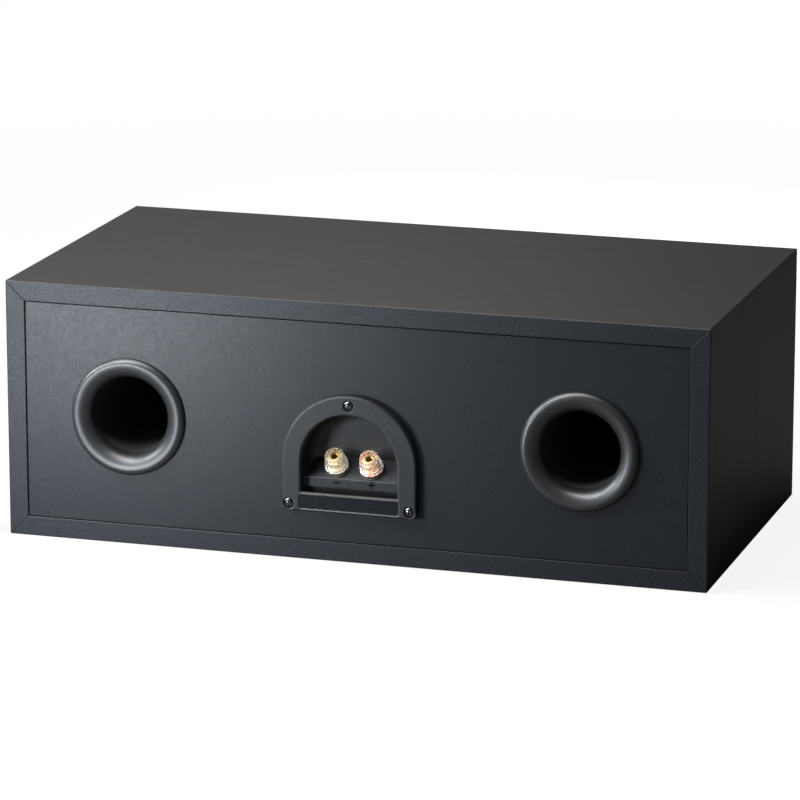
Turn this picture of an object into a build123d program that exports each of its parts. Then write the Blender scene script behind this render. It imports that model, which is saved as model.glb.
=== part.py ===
from build123d import *
import math
import os

# Center channel speaker, rear side towards -Y, standing on Z = 0, sizes in millimetres.

os.makedirs("parts", exist_ok=True)

# Cabinet
cabinet_width = 460.0
cabinet_height = 167.0
cabinet_depth = 240.0
board = 12.7
baffle = 15.0
fold_radius = 0.8
edge_break = 0.4
panel_recess = 0.8
panel_gap = 0.6
tongue = 6.0
tongue_reach = 5.0
glue_space = 0.2
pad_thickness = 18.0
pad_margin = 14.0

# Screws
screw_head_radius = 3.4
screw_head_height = 2.2
screw_shank_radius = 1.7
screw_length = 14.0
screw_play = 0.1
screw_sink = 1.4
screw_seat_play = 0.25
screw_land = 4.0

# Ports
port_end_margin = 69.3
port_bore = 25.2
port_wall = 2.5
port_flare = 9.0
port_lip = 4.0
port_length = 110.0
port_play = 0.3

# Terminal cup
cup_arch_z = 64.6
cup_radius = 44.2
cup_opening = 31.8
cup_drop = 32.1
cup_corner = 1.6
sill_drop = 19.8
flange_height = 4.8
flange_round = 1.2
mouth_bevel = 0.9
gasket_height = 0.8
gasket_inset = 1.5
cup_depth = 14.8
cup_back_round = 7.0
cup_wall = 2.2
cup_draft = 4.0
cup_screw_inset = 4.6
cup_play = 0.8
sill_lip = 2.6
trench_drop = 2.4
ledge_height = 6.2
ledge_margin = 0.9
ledge_undercut = 2.5
label_width = 66.0
label_height = 9.3
label_sink = 0.7

# Binding posts
post_spacing = 22.8
post_tilt = 52.5
post_z = 58.65
post_inset = 8.4
stud_radius = 3.0
stud_height = 10.6
stud_tail = 13.0
socket_radius = 2.1
socket_depth = 12.0
socket_lead = 0.3
collar_radius = 7.8
collar_height = 2.4
seat_height = 0.8
seat_radius = 6.2
cap_gap = 0.3
cap_length = 9.8
cap_top_radius = 5.8
cap_play = 0.3
core_wall = 1.2
core_flange = 1.0
core_lip = 0.8
crown_height = 1.5
flute_count = 12
flute_radius = 1.1
flute_depth = 0.45
nut_height = 4.4
nut_flats = 10.0
tag_thickness = 0.8
tag_reach = 9.0
tag_width = 3.2

# Woofers
woofer_margin = 4.8
woofer_end_margin = 8.0
woofer_land = 7.0
surround_land = 8.0
frame_land = 13.0
driver_rebate = 3.0
driver_flange = 4.0
driver_play = 0.5
basket_wall = 2.0
basket_depth = 46.0
spoke_count = 6
spoke_width = 12.0
ledge_sink = 1.2
sheet = 1.0
roll_width = 8.0
roll_height = 4.0
cone_lip = 3.5
cone_depth = 24.0
cone_paper = 1.5
coil_radius = 12.6
former_wall = 0.4
winding = 0.5
coil_gap = 0.5
winding_length = 10.0
dust_cap_share = 3 / 11
dust_cap_rise = 6.5
spider_depth = 33.0
spider_share = 7 / 11
spider_land = 4.0
spider_cloth = 0.6
spider_wave = 1.4
spider_waves = 4
plate = 5.0
plate_share = 6 / 11
magnet_height = 14.0
magnet_share = 7 / 11
magnet_gap = 4.0
vent_radius = 4.0
glue_line = 0.05
lug_reach = 9.0
lug_width = 14.0
lug_thickness = 1.6

# Tweeter
tweeter_radius = 50.0
horn_radius = 38.0
horn_depth = 8.0
throat_radius = 14.5
boss_play = 1.5
boss_wall = 2.0
dome_radius = 12.7
dome_rise = 4.8
dome_roll = 3.2
dome_lip = 5.0
dome_film = 0.6
dome_coil_length = 4.0
dome_coil_wall = 0.3
tweeter_gap = 0.5
tweeter_plate = 4.0
tweeter_magnet_height = 12.0
tweeter_magnet_radius = 32.0
tweeter_magnet_gap = 3.0
tweeter_hole_play = 5.5
tweeter_plate_inset = 4.0

# Crossover and its wiring
circuit_width = 100.0
circuit_depth = 70.0
circuit_thickness = 1.6
circuit_y = 15.0
standoff_height = 6.0
standoff_radius = 3.6
standoff_inset = 6.0
choke_radius = 19.0
choke_height = 22.0
small_choke_radius = 13.0
small_choke_height = 16.0
bobbin_flange = 1.6
bobbin_step = 2.5
capacitor_radius = 9.0
capacitor_length = 32.0
resistor_length = 25.0
resistor_side = 9.0
part_gap = 2.0
wire_radius = 1.1
wire_pitch = 3.2
wire_bend = 7.0

# Places worked out from the sizes above
inner_width = cabinet_width - 2 * board
inner_height = cabinet_height - 2 * board
middle_z = cabinet_height / 2
rear_y = -cabinet_depth / 2 + panel_recess
front_y = cabinet_depth / 2 - panel_recess
rear_inside_y = rear_y + board
front_inside_y = front_y - baffle
groove = tongue_reach + glue_space
rear_groove_y = rear_inside_y - tongue / 2
front_groove_y = front_inside_y + tongue / 2

screw_pilot = screw_shank_radius + screw_play
port_x = inner_width / 2 - port_end_margin
port_neck = port_bore + 0.75 * port_flare

cup_seat_y = rear_y - gasket_height
cup_face_y = cup_seat_y - flange_height
cup_back_y = rear_y + cup_depth
sill_z = cup_arch_z - sill_drop
trench_z = sill_z - trench_drop
cutout_radius = cup_opening + cup_wall + cup_play
cutout_drop = cup_arch_z - trench_z + cup_wall + cup_play
screw_ring = (cup_radius + cup_opening) / 2
corner_screw_x = cup_radius - cup_screw_inset
corner_screw_z = cup_arch_z - cup_drop + cup_screw_inset
cup_screw_points = [
    (0, cup_arch_z + screw_ring),
    (-corner_screw_x, corner_screw_z),
    (corner_screw_x, corner_screw_z),
]

post_axis = Vector(0, -math.cos(math.radians(post_tilt)), math.sin(math.radians(post_tilt)))
post_slope = Vector(0, math.sin(math.radians(post_tilt)), math.cos(math.radians(post_tilt)))
post_y = rear_y + post_inset
post_centre = Vector(0, post_y, post_z)
ledge_top = post_centre - post_slope * (collar_radius + ledge_margin)
ledge_low_z = ledge_top.Z - ledge_height
undercut_y = ledge_top.Y + ledge_undercut
platform_back_z = post_z + (cup_back_y - post_y) / math.tan(math.radians(post_tilt))

woofer_radius = inner_height / 2 - woofer_margin
woofer_x = inner_width / 2 - woofer_end_margin - woofer_radius
woofer_hole = woofer_radius - woofer_land
woofer_screw_ring = woofer_radius - screw_land
spider_radius = spider_share * woofer_radius
plate_radius = plate_share * woofer_radius
magnet_radius = magnet_share * woofer_radius
dust_cap_radius = dust_cap_share * woofer_radius
driver_front = driver_flange - driver_rebate
tweeter_hole = tweeter_magnet_radius + tweeter_hole_play
boss_radius = tweeter_hole - boss_play
tweeter_screw_ring = (tweeter_radius + tweeter_hole) / 2 + 1.0


def keep(part, label):
    """Labels a finished piece and writes its STEP file."""
    part.label = label
    export_step(part, f"parts/{label}.step")


def rear_face(y):
    """Plane facing out of the rear side, with X to the viewer's right and Z up."""
    return Plane(origin=(0, y, 0), x_dir=(1, 0, 0), z_dir=(0, -1, 0))


def front_face(y):
    """Plane facing out of the front side, with Z up."""
    return Plane(origin=(0, y, 0), x_dir=(-1, 0, 0), z_dir=(0, 1, 0))


def rear_turning(x, y, z):
    """Profile plane for round pieces on the rear: radius across, height out of the rear side."""
    return Plane(origin=(x, y, z), x_dir=(1, 0, 0), z_dir=(0, 0, -1))


def front_turning(x):
    """Profile plane for a driver: radius across, height out of the baffle's face."""
    return Plane(origin=(x, front_y, middle_z), x_dir=(1, 0, 0), z_dir=(0, 0, 1))


def upright_turning(x, y, z):
    """Profile plane for round pieces that stand up."""
    return Plane(origin=(x, y, z), x_dir=(1, 0, 0), z_dir=(0, -1, 0))


def post_turning(x):
    """Profile plane for one binding post: radius across, height along its slanting axis."""
    slant = Vector(1, 0, 0).cross(post_axis)
    return Plane(origin=(x, post_y, post_z), x_dir=(1, 0, 0), z_dir=slant)


def turned(plane, outline):
    """Solid of revolution from a closed outline of (radius, height) points."""
    with BuildPart() as piece:
        with BuildSketch(plane):
            with BuildLine():
                Polyline(*outline, close=True)
            make_face()
        revolve(axis=Axis(plane.origin, plane.y_dir))
    return piece.part


def ring(plane, inner, outer, low, high):
    """Plain washer or tube between two radii and two heights."""
    return turned(plane, [(inner, low), (outer, low), (outer, high), (inner, high)])


def dome_arc(radius, rise, base):
    """Arc of a spherical cap, from its rim to its crown on the turning axis."""
    sphere = (radius**2 + rise**2) / (2 * rise)
    rim_angle = 90 - math.degrees(math.asin(radius / sphere))
    return CenterArc((0, base + rise - sphere), sphere, rim_angle, 90 - rim_angle)


def arch(radius, drop, corner=0.0):
    """Arch outline about its own centre: half a circle above, straight sides and foot below."""
    with BuildSketch() as outline:
        with BuildLine():
            Polyline((-radius, 0), (-radius, -drop), (radius, -drop), (radius, 0))
            ThreePointArc((radius, 0), (0, radius), (-radius, 0))
        make_face()
        if corner > 0:
            fillet(outline.vertices().group_by(Axis.Y)[0], corner)
    return outline.sketch


def scoop(radius, depth, back_round):
    """Solid with an arch mouth on the cup's face, walls that lean in and a back edge rounded all round."""
    level = Plane(origin=(0, cup_face_y, cup_arch_z))
    back_radius = radius - depth * math.tan(math.radians(cup_draft))
    with BuildSketch() as half_side:
        with BuildLine():
            Polyline((0, 0), (radius, 0), (back_radius, depth), (0, depth), close=True)
        make_face()
        fillet(half_side.vertices().group_by(Axis.Y)[-1].sort_by(Axis.X)[-1], back_round)
    with BuildPart() as solid:
        with BuildSketch(level):
            add(half_side.sketch)
        revolve(axis=Axis(level.origin, (0, -1, 0)), revolution_arc=180)
        with BuildSketch(level):
            add(half_side.sketch)
            mirror(about=Plane.YZ)
        extrude(amount=-cup_drop)
    return solid.part


def screw(plane, length=screw_length):
    """Pan-head cross-slot screw whose head sits on the plane's origin."""
    with BuildPart() as piece:
        with BuildSketch(plane):
            with BuildLine():
                dome = dome_arc(screw_head_radius, 0.7 * screw_head_height, 0.3 * screw_head_height)
                Polyline(
                    dome @ 1,
                    (0, -length),
                    (screw_shank_radius, -length + 2 * screw_shank_radius),
                    (screw_shank_radius, 0),
                    (screw_head_radius, 0),
                    dome @ 0,
                )
            make_face()
        revolve(axis=Axis(plane.origin, plane.y_dir))
        top = Plane(plane.origin, x_dir=plane.x_dir, z_dir=plane.y_dir)
        with BuildSketch(top.offset(screw_head_height)):
            Rectangle(1.15 * screw_head_radius, 0.26 * screw_head_radius)
            Rectangle(0.26 * screw_head_radius, 1.15 * screw_head_radius)
        extrude(amount=-0.6 * screw_head_height, mode=Mode.SUBTRACT)
    return piece.part


def wire(points):
    """Round wire along a route of straight runs and bends."""
    with BuildPart() as piece:
        with BuildLine() as route:
            FilletPolyline(*points, radius=wire_bend)
        with BuildSketch(Plane(origin=route.line @ 0, z_dir=route.line % 0)):
            Circle(wire_radius)
        sweep()
    return piece.part


def group(parts, label):
    """One node that holds several like pieces."""
    with BuildPart() as pieces:
        add(parts)
    keep(pieces.part, label)


# Wrap of four mitred boards, folded around the two inset panels
with BuildPart() as wrap:
    with Locations((0, 0, middle_z)):
        Box(cabinet_width, cabinet_depth, cabinet_height)
    fillet(wrap.edges(), fold_radius)
    with Locations((0, 0, middle_z)):
        Box(inner_width, cabinet_depth, inner_height, mode=Mode.SUBTRACT)
    rear_rim = wrap.faces().sort_by(Axis.Y)[0].inner_wires()[0].edges()
    front_rim = wrap.faces().sort_by(Axis.Y)[-1].inner_wires()[0].edges()
    fillet(rear_rim + front_rim, edge_break)
    with Locations((0, rear_groove_y, middle_z), (0, front_groove_y, middle_z)):
        Box(inner_width + 2 * groove, tongue, inner_height + 2 * groove, mode=Mode.SUBTRACT)


def mitre(side, level, across, up):
    """Mitre plane through one long edge of the cabinet, facing the board that is kept."""
    return Plane(origin=(side * cabinet_width / 2, 0, level), z_dir=(across, 0, up))


circuit_low = board + standoff_height
circuit_top = circuit_low + circuit_thickness
circuit_corners = [
    (sx * (circuit_width / 2 - standoff_inset), circuit_y + sy * (circuit_depth / 2 - standoff_inset))
    for sx in (-1, 1)
    for sy in (-1, 1)
]
circuit_screw_length = circuit_thickness + standoff_height + 0.6 * board

with BuildPart() as top_panel:
    add(wrap.part)
    split(bisect_by=Plane.XY.offset(middle_z), keep=Keep.TOP)
    split(bisect_by=mitre(-1, cabinet_height, 1, 1), keep=Keep.TOP)
    split(bisect_by=mitre(1, cabinet_height, -1, 1), keep=Keep.TOP)
keep(top_panel.part, "top_panel")

with BuildPart() as bottom_panel:
    add(wrap.part)
    split(bisect_by=Plane.XY.offset(middle_z), keep=Keep.BOTTOM)
    split(bisect_by=mitre(-1, 0, 1, -1), keep=Keep.TOP)
    split(bisect_by=mitre(1, 0, -1, -1), keep=Keep.TOP)
    with BuildSketch(Plane.XY.offset(board)):
        with Locations(*circuit_corners):
            Circle(screw_pilot)
    extrude(amount=-0.7 * board, mode=Mode.SUBTRACT)
keep(bottom_panel.part, "bottom_panel")

for side, name in ((-1, "left_panel"), (1, "right_panel")):
    with BuildPart() as end_panel:
        add(wrap.part)
        split(bisect_by=mitre(side, cabinet_height, side, -1), keep=Keep.TOP)
        split(bisect_by=mitre(side, 0, side, 1), keep=Keep.TOP)
    keep(end_panel.part, name)

# Rear panel, tongued into the wrap, with its port holes and terminal cut-out
with BuildPart() as rear_panel:
    with Locations((0, rear_y + (board - tongue) / 2, middle_z)):
        Box(inner_width - 2 * panel_gap, board - tongue, inner_height - 2 * panel_gap)
    with Locations((0, rear_groove_y, middle_z)):
        Box(inner_width + 2 * tongue_reach, tongue, inner_height + 2 * tongue_reach)
    with BuildSketch(rear_face(rear_y)):
        with Locations((-port_x, middle_z), (port_x, middle_z)):
            Circle(port_neck + port_play)
        with Locations((0, cup_arch_z)):
            add(arch(cutout_radius, cutout_drop))
    extrude(amount=-board, mode=Mode.SUBTRACT)
    with BuildSketch(rear_face(rear_y)):
        with Locations(*cup_screw_points):
            Circle(screw_pilot)
    extrude(amount=-0.9 * board, mode=Mode.SUBTRACT)
keep(rear_panel.part, "rear_panel")

# Front baffle, with rebated holes for the three drivers
with BuildPart() as front_baffle:
    with Locations((0, front_y - (baffle - tongue) / 2, middle_z)):
        Box(inner_width - 2 * panel_gap, baffle - tongue, inner_height - 2 * panel_gap)
    with Locations((0, front_groove_y, middle_z)):
        Box(inner_width + 2 * tongue_reach, tongue, inner_height + 2 * tongue_reach)
    with BuildSketch(front_face(front_y)):
        with Locations((-woofer_x, middle_z), (woofer_x, middle_z)):
            Circle(woofer_hole)
        with Locations((0, middle_z)):
            Circle(tweeter_hole)
    extrude(amount=-baffle, mode=Mode.SUBTRACT)
    with BuildSketch(front_face(front_y)):
        with Locations((-woofer_x, middle_z), (woofer_x, middle_z)):
            Circle(woofer_radius + driver_play)
        with Locations((0, middle_z)):
            Circle(tweeter_radius + driver_play)
    extrude(amount=-driver_rebate, mode=Mode.SUBTRACT)
    with BuildSketch(front_face(front_y - driver_rebate)):
        with Locations((-woofer_x, middle_z), (woofer_x, middle_z)):
            with PolarLocations(woofer_screw_ring, 4, start_angle=45):
                Circle(screw_pilot)
        with Locations((0, middle_z)):
            with PolarLocations(tweeter_screw_ring, 4, start_angle=45):
                Circle(screw_pilot)
    extrude(amount=-screw_length, mode=Mode.SUBTRACT)
keep(front_baffle.part, "front_baffle")

# Damping pads glued to the two end boards
for side, name in ((-1, "left_wadding"), (1, "right_wadding")):
    with BuildPart() as wadding:
        with Locations((side * (inner_width - pad_thickness) / 2, 0, middle_z)):
            Box(pad_thickness, cabinet_depth / 2, inner_height - 2 * pad_margin)
        fillet(wadding.faces().sort_by(Axis.X)[0 if side > 0 else -1].edges(), pad_thickness / 3)
    keep(wadding.part, name)

# Flared port tubes, each moulded in one piece
for side, name in ((-1, "left_port"), (1, "right_port")):
    port_plane = rear_turning(side * port_x, rear_y, middle_z)
    crest = port_bore + port_flare
    with BuildPart() as port:
        with BuildSketch(port_plane):
            with BuildLine():
                throat = RadiusArc((port_bore, port_lip - port_flare), (crest, port_lip), port_flare)
                edge = RadiusArc((crest, port_lip), (crest + port_lip, 0), port_lip)
                Polyline(
                    edge @ 1,
                    (port_neck, 0),
                    (port_bore + port_wall, -port_flare),
                    (port_bore + port_wall, -port_length),
                    (port_bore, -port_length),
                    throat @ 0,
                )
            make_face()
        revolve(axis=Axis(port_plane.origin, port_plane.y_dir))
    keep(port.part, name)

# Hollow of the terminal cup in side view: sill, trench, ledge, slanting platform and back wall
hollow_top = cup_arch_z + cup_radius
hollow_side = [
    (cup_face_y - 1, sill_z),
    (cup_face_y + sill_lip, sill_z),
    (cup_face_y + sill_lip, trench_z),
    (undercut_y, trench_z),
    (undercut_y, ledge_low_z),
    (ledge_top.Y, ledge_low_z),
    (ledge_top.Y, ledge_top.Z),
    (cup_back_y, platform_back_z),
    (cup_back_y, hollow_top),
    (cup_face_y - 1, hollow_top),
]
hollow_plane = Plane(origin=(0, cup_face_y, cup_arch_z), x_dir=(-1, 0, 0), z_dir=(0, 1, 0))
hollow_depth = cup_back_y - cup_face_y

with BuildPart() as hollow:
    add(scoop(cup_opening, hollow_depth, cup_back_round))
    with BuildSketch(Plane.YZ):
        with BuildLine():
            Polyline(*hollow_side, close=True)
        make_face()
    extrude(amount=cup_radius, both=True, mode=Mode.INTERSECT)

with BuildPart() as shell:
    add(scoop(cup_opening + cup_wall, hollow_depth + cup_wall, cup_back_round + cup_wall))
    with BuildSketch(Plane.YZ):
        with BuildLine():
            Polyline(*hollow_side, close=True)
        make_face()
        offset(amount=cup_wall, kind=Kind.INTERSECTION)
    extrude(amount=cup_radius, both=True, mode=Mode.INTERSECT)

# Terminal cup: raised arch flange, label recess, screw seats and the hollow for the posts
with BuildPart() as terminal_cup:
    with BuildSketch(Plane(origin=(0, cup_seat_y, cup_arch_z), x_dir=(1, 0, 0), z_dir=(0, -1, 0))):
        add(arch(cup_radius, cup_drop, cup_corner))
    extrude(amount=flange_height)
    add(shell.part)
    add(hollow.part, mode=Mode.SUBTRACT)
    face = terminal_cup.faces().sort_by(Axis.Y)[0]
    fillet(face.outer_wire().edges(), flange_round)
    with BuildSketch(hollow_plane):
        add(arch(cup_opening + mouth_bevel, sill_drop + mouth_bevel))
    extrude(amount=mouth_bevel, taper=45, mode=Mode.SUBTRACT)
    label_z = (sill_z + cup_arch_z - cup_drop) / 2
    with BuildSketch(rear_face(cup_face_y)):
        with Locations((0, label_z)):
            RectangleRounded(label_width, label_height, 1.5)
    extrude(amount=-label_sink, mode=Mode.SUBTRACT)
    with BuildSketch(rear_face(cup_face_y)):
        with Locations(*cup_screw_points):
            Circle(screw_head_radius + screw_seat_play)
    extrude(amount=-screw_sink, mode=Mode.SUBTRACT)
    with BuildSketch(rear_face(cup_face_y)):
        with Locations(*cup_screw_points):
            Circle(screw_pilot + 2 * screw_play)
    extrude(amount=-flange_height - 1, mode=Mode.SUBTRACT)
    with BuildSketch(Plane(origin=post_centre, x_dir=(1, 0, 0), z_dir=post_axis)):
        with Locations((-post_spacing / 2, 0), (post_spacing / 2, 0)):
            Circle(stud_radius + screw_play)
    extrude(amount=-2 * cup_wall, mode=Mode.SUBTRACT)
keep(terminal_cup.part, "terminal_cup")

with BuildPart() as terminal_gasket:
    with BuildSketch(Plane(origin=(0, rear_y, cup_arch_z), x_dir=(1, 0, 0), z_dir=(0, -1, 0))):
        add(arch(cup_radius - gasket_inset, cup_drop - gasket_inset))
        add(arch(cutout_radius, cutout_drop), mode=Mode.SUBTRACT)
        with Locations(*[(x, z - cup_arch_z) for x, z in cup_screw_points]):
            Circle(screw_pilot + 2 * screw_play, mode=Mode.SUBTRACT)
    extrude(amount=gasket_height)
keep(terminal_gasket.part, "terminal_gasket")

cup_screws = [screw(rear_turning(x, cup_face_y + screw_sink, z)) for x, z in cup_screw_points]
group(cup_screws, "terminal_screws")

# Binding posts: clear collar, coloured ring, gold stud, gold core and clear fluted cap
seat_low = collar_height
seat_high = collar_height + seat_height
core_low = seat_high + cap_gap
core_radius = stud_radius + cap_play + core_wall
core_high = stud_height + cap_gap + core_lip
neck_radius = stud_radius + cap_play + 0.4
cap_low = core_low
cap_high = cap_low + cap_length
cap_lean = math.degrees(math.atan((collar_radius - cap_top_radius) / cap_length))
cap_middle = (cap_low + cap_high) / 2
cap_middle_radius = (collar_radius + cap_top_radius) / 2
shell_step = core_low + core_flange + cap_play
neck_low = core_high - crown_height - 1.0
stud_bore_end = stud_height - socket_depth

for side, name in ((-1, "negative"), (1, "positive")):
    post_plane = post_turning(side * post_spacing / 2)
    across_plane = Plane(post_plane.origin, x_dir=(1, 0, 0), z_dir=post_axis)

    keep(ring(post_plane, stud_radius + screw_play, collar_radius, 0, collar_height), f"{name}_collar")

    marker_inner = seat_radius + screw_play
    keep(ring(post_plane, marker_inner, collar_radius - 0.4, seat_low, seat_high), f"{name}_ring")

    stud_outline = [
        (0, -stud_tail),
        (stud_radius, -stud_tail),
        (stud_radius, seat_low),
        (seat_radius, seat_low),
        (seat_radius, seat_high),
        (stud_radius, seat_high),
        (stud_radius, stud_height),
        (socket_radius, stud_height),
        (socket_radius, stud_bore_end),
        (0, stud_bore_end - socket_radius),
    ]
    keep(turned(post_plane, stud_outline), f"{name}_stud")

    core_outline = [
        (stud_radius + cap_play, core_low),
        (seat_radius, core_low),
        (seat_radius, core_low + core_flange),
        (core_radius, core_low + core_flange),
        (core_radius, neck_low),
        (neck_radius, neck_low),
        (neck_radius, core_high),
        (socket_radius + socket_lead, core_high),
        (socket_radius + socket_lead, core_high - core_lip),
        (stud_radius + cap_play, core_high - core_lip),
    ]
    keep(turned(post_plane, core_outline), f"{name}_core")

    cap_outline = [
        (seat_radius + cap_play, cap_low),
        (collar_radius, cap_low),
        (cap_top_radius, cap_high),
        (cap_top_radius - core_wall, cap_high),
        (cap_top_radius - core_wall, core_high - crown_height),
        (neck_radius + cap_play, core_high - crown_height),
        (neck_radius + cap_play, neck_low + cap_play),
        (core_radius + cap_play, neck_low + cap_play),
        (core_radius + cap_play, shell_step),
        (seat_radius + cap_play, shell_step),
    ]
    with BuildPart() as cap:
        add(turned(post_plane, cap_outline))
        with Locations(across_plane.offset(cap_middle)):
            with PolarLocations(cap_middle_radius + flute_radius - flute_depth, flute_count):
                Cylinder(flute_radius, 1.4 * cap_length, rotation=(0, -cap_lean, 0), mode=Mode.SUBTRACT)
    keep(cap.part, f"{name}_cap")

nut_top = -cup_wall - tag_thickness
nuts = []
tags = []
for side in (-1, 1):
    below = Plane(post_turning(side * post_spacing / 2).origin, x_dir=(1, 0, 0), z_dir=post_axis)
    with BuildPart() as nut:
        with BuildSketch(below.offset(nut_top)):
            RegularPolygon(nut_flats / 2, 6, major_radius=False)
            Circle(stud_radius + screw_play, mode=Mode.SUBTRACT)
        extrude(amount=-nut_height)
    nuts.append(nut.part)
    with BuildPart() as tag:
        with BuildSketch(below.offset(-cup_wall)):
            Circle(nut_flats / 2)
            with Locations((0, (nut_flats / 2 + tag_reach) / 2)):
                Rectangle(tag_width, nut_flats / 2 + tag_reach)
            Circle(stud_radius + screw_play, mode=Mode.SUBTRACT)
        extrude(amount=-tag_thickness)
    tags.append(tag.part)
group(nuts, "post_nuts")
group(tags, "solder_tags")

# Woofers, built for one side and then the other
lip_low = driver_front - ledge_sink
lip_high = lip_low + sheet
frame_inner = woofer_radius - frame_land
frame_ledge = woofer_radius - surround_land
roll_outer = frame_inner + 1.0
roll_inner = roll_outer - roll_width
cone_inner = roll_inner - cone_lip
former_outer = coil_radius + former_wall
winding_outer = former_outer + winding
pole_radius = coil_radius - coil_gap
plate_hole = winding_outer + coil_gap
basket_low = -basket_depth
plate_low = basket_low - plate
magnet_low = plate_low - magnet_height
yoke_low = magnet_low - plate
cone_low = lip_low - cone_depth
cone_slope = cone_depth / (cone_inner - former_outer)
spider_high = -spider_depth + spider_cloth
frame_lug_h = -spider_depth - spider_cloth
lug_radius = spider_radius + basket_wall + lug_reach


def cone_front(radius):
    """Height of the cone's front face at a radius."""
    return lip_low - cone_slope * (cone_inner - radius)


def spider_strip():
    """Closed outline of the corrugated spider, its front edge out and its back edge home."""
    start = former_outer + glue_line
    step = (spider_radius - spider_land - start) / (2 * spider_waves + 1)
    middle = -spider_depth + spider_cloth / 2
    spine = [(start, middle)]
    for index in range(1, 2 * spider_waves + 1):
        swing = spider_wave if index % 2 else -spider_wave
        spine.append((start + index * step, middle + swing))
    spine += [(spider_radius - spider_land, middle), (spider_radius - 0.5, middle)]
    upper = [(r, h + spider_cloth / 2) for r, h in spine]
    lower = [(r, h - spider_cloth / 2) for r, h in spine]
    return upper + lower[::-1]


def woofer(name, x):
    """Builds every piece of one woofer about the axis at x."""
    plane = front_turning(x)
    axis = Axis(plane.origin, plane.y_dir)
    facing = Plane(plane.origin, x_dir=(-1, 0, 0), z_dir=(0, 1, 0))

    frame_outline = [
        (woofer_radius, driver_front),
        (woofer_radius, -driver_rebate),
        (woofer_hole - 1.0, -driver_rebate),
        (spider_radius + basket_wall, -spider_depth),
        (spider_radius + basket_wall, -spider_depth - basket_wall),
        (plate_radius + 1.0, basket_low),
        (plate_hole + basket_wall, basket_low),
        (plate_hole + basket_wall, basket_low + basket_wall),
        (plate_radius, basket_low + basket_wall),
        (spider_radius - spider_land, -spider_depth - 2 * basket_wall),
        (spider_radius - spider_land, -spider_depth),
        (spider_radius, -spider_depth),
        (woofer_hole - 1.0 - 1.3 * basket_wall, -driver_rebate - basket_wall),
        (frame_inner, -driver_rebate),
        (frame_inner, lip_low),
        (frame_ledge, lip_low),
        (frame_ledge, driver_front),
    ]
    with BuildPart() as frame:
        add(turned(plane, frame_outline))
        with BuildSketch(facing.offset(-basket_wall)):
            Circle(frame_inner - basket_wall)
            Circle(spider_radius + 2 * basket_wall, mode=Mode.SUBTRACT)
            with PolarLocations((frame_inner + spider_radius) / 2, spoke_count, start_angle=30):
                Rectangle(frame_inner - spider_radius + 4, spoke_width, mode=Mode.SUBTRACT)
        extrude(amount=-spider_depth + 2 * basket_wall, mode=Mode.SUBTRACT)
        with BuildSketch(facing.offset(driver_front)):
            with PolarLocations(woofer_screw_ring, 4, start_angle=45):
                Circle(screw_head_radius + screw_play)
        extrude(amount=-screw_sink, mode=Mode.SUBTRACT)
        with BuildSketch(facing.offset(driver_front)):
            with PolarLocations(woofer_screw_ring, 4, start_angle=45):
                Circle(screw_pilot + screw_play)
        extrude(amount=-driver_flange - 1, mode=Mode.SUBTRACT)
        with BuildSketch(facing.offset(frame_lug_h)):
            with Locations((0, -(spider_radius + lug_radius) / 2)):
                Rectangle(lug_width, lug_radius - spider_radius)
        extrude(amount=-lug_thickness)
    keep(frame.part, f"{name}_woofer_frame")

    with BuildPart() as surround:
        with BuildSketch(plane):
            with BuildLine():
                crest = (roll_inner + roll_outer) / 2
                upper = ThreePointArc(
                    (roll_outer, lip_high),
                    (crest, lip_high + roll_height),
                    (roll_inner, lip_high),
                )
                lower = ThreePointArc(
                    (roll_inner + sheet, lip_low),
                    (crest, lip_high + roll_height - sheet),
                    (roll_outer - sheet, lip_low),
                )
                Polyline(upper @ 1, (cone_inner, lip_high), (cone_inner, lip_low), lower @ 0)
                lip_edge = frame_ledge - screw_play
                Polyline(lower @ 1, (lip_edge, lip_low), (lip_edge, lip_high), upper @ 0)
            make_face()
        revolve(axis=axis)
    keep(surround.part, f"{name}_woofer_surround")

    neck = former_outer + glue_line
    cone_outline = [
        (roll_inner, lip_low),
        (cone_inner, lip_low),
        (neck, cone_front(neck)),
        (neck, cone_front(neck) - cone_paper),
        (cone_inner, lip_low - cone_paper),
        (roll_inner, lip_low - cone_paper),
    ]
    keep(turned(plane, cone_outline), f"{name}_woofer_cone")

    rim = cone_front(dust_cap_radius) + glue_line
    with BuildPart() as dust_cap:
        with BuildSketch(plane):
            with BuildLine():
                outer = dome_arc(dust_cap_radius, dust_cap_rise, rim + sheet)
                inner = dome_arc(dust_cap_radius - sheet, dust_cap_rise, rim)
                Line(outer @ 1, inner @ 1)
                Polyline(inner @ 0, (dust_cap_radius, rim), outer @ 0)
            make_face()
        revolve(axis=axis)
    keep(dust_cap.part, f"{name}_woofer_dust_cap")

    coil_low = basket_low - plate / 2 - winding_length / 2
    coil_outline = [
        (coil_radius, coil_low),
        (winding_outer, coil_low),
        (winding_outer, coil_low + winding_length),
        (former_outer, coil_low + winding_length),
        (former_outer, cone_front(former_outer)),
        (coil_radius, cone_front(former_outer)),
    ]
    keep(turned(plane, coil_outline), f"{name}_woofer_voice_coil")

    keep(turned(plane, spider_strip()), f"{name}_woofer_spider")
    keep(ring(plane, plate_hole, plate_radius, plate_low, basket_low), f"{name}_woofer_top_plate")
    magnet_hole = plate_hole + magnet_gap
    keep(ring(plane, magnet_hole, magnet_radius, magnet_low, plate_low), f"{name}_woofer_magnet")

    yoke_outline = [
        (vent_radius, yoke_low),
        (plate_radius, yoke_low),
        (plate_radius, magnet_low),
        (pole_radius, magnet_low),
        (pole_radius, basket_low),
        (vent_radius, basket_low),
    ]
    keep(turned(plane, yoke_outline), f"{name}_woofer_yoke")


woofer("left", -woofer_x)
woofer("right", woofer_x)


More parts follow.
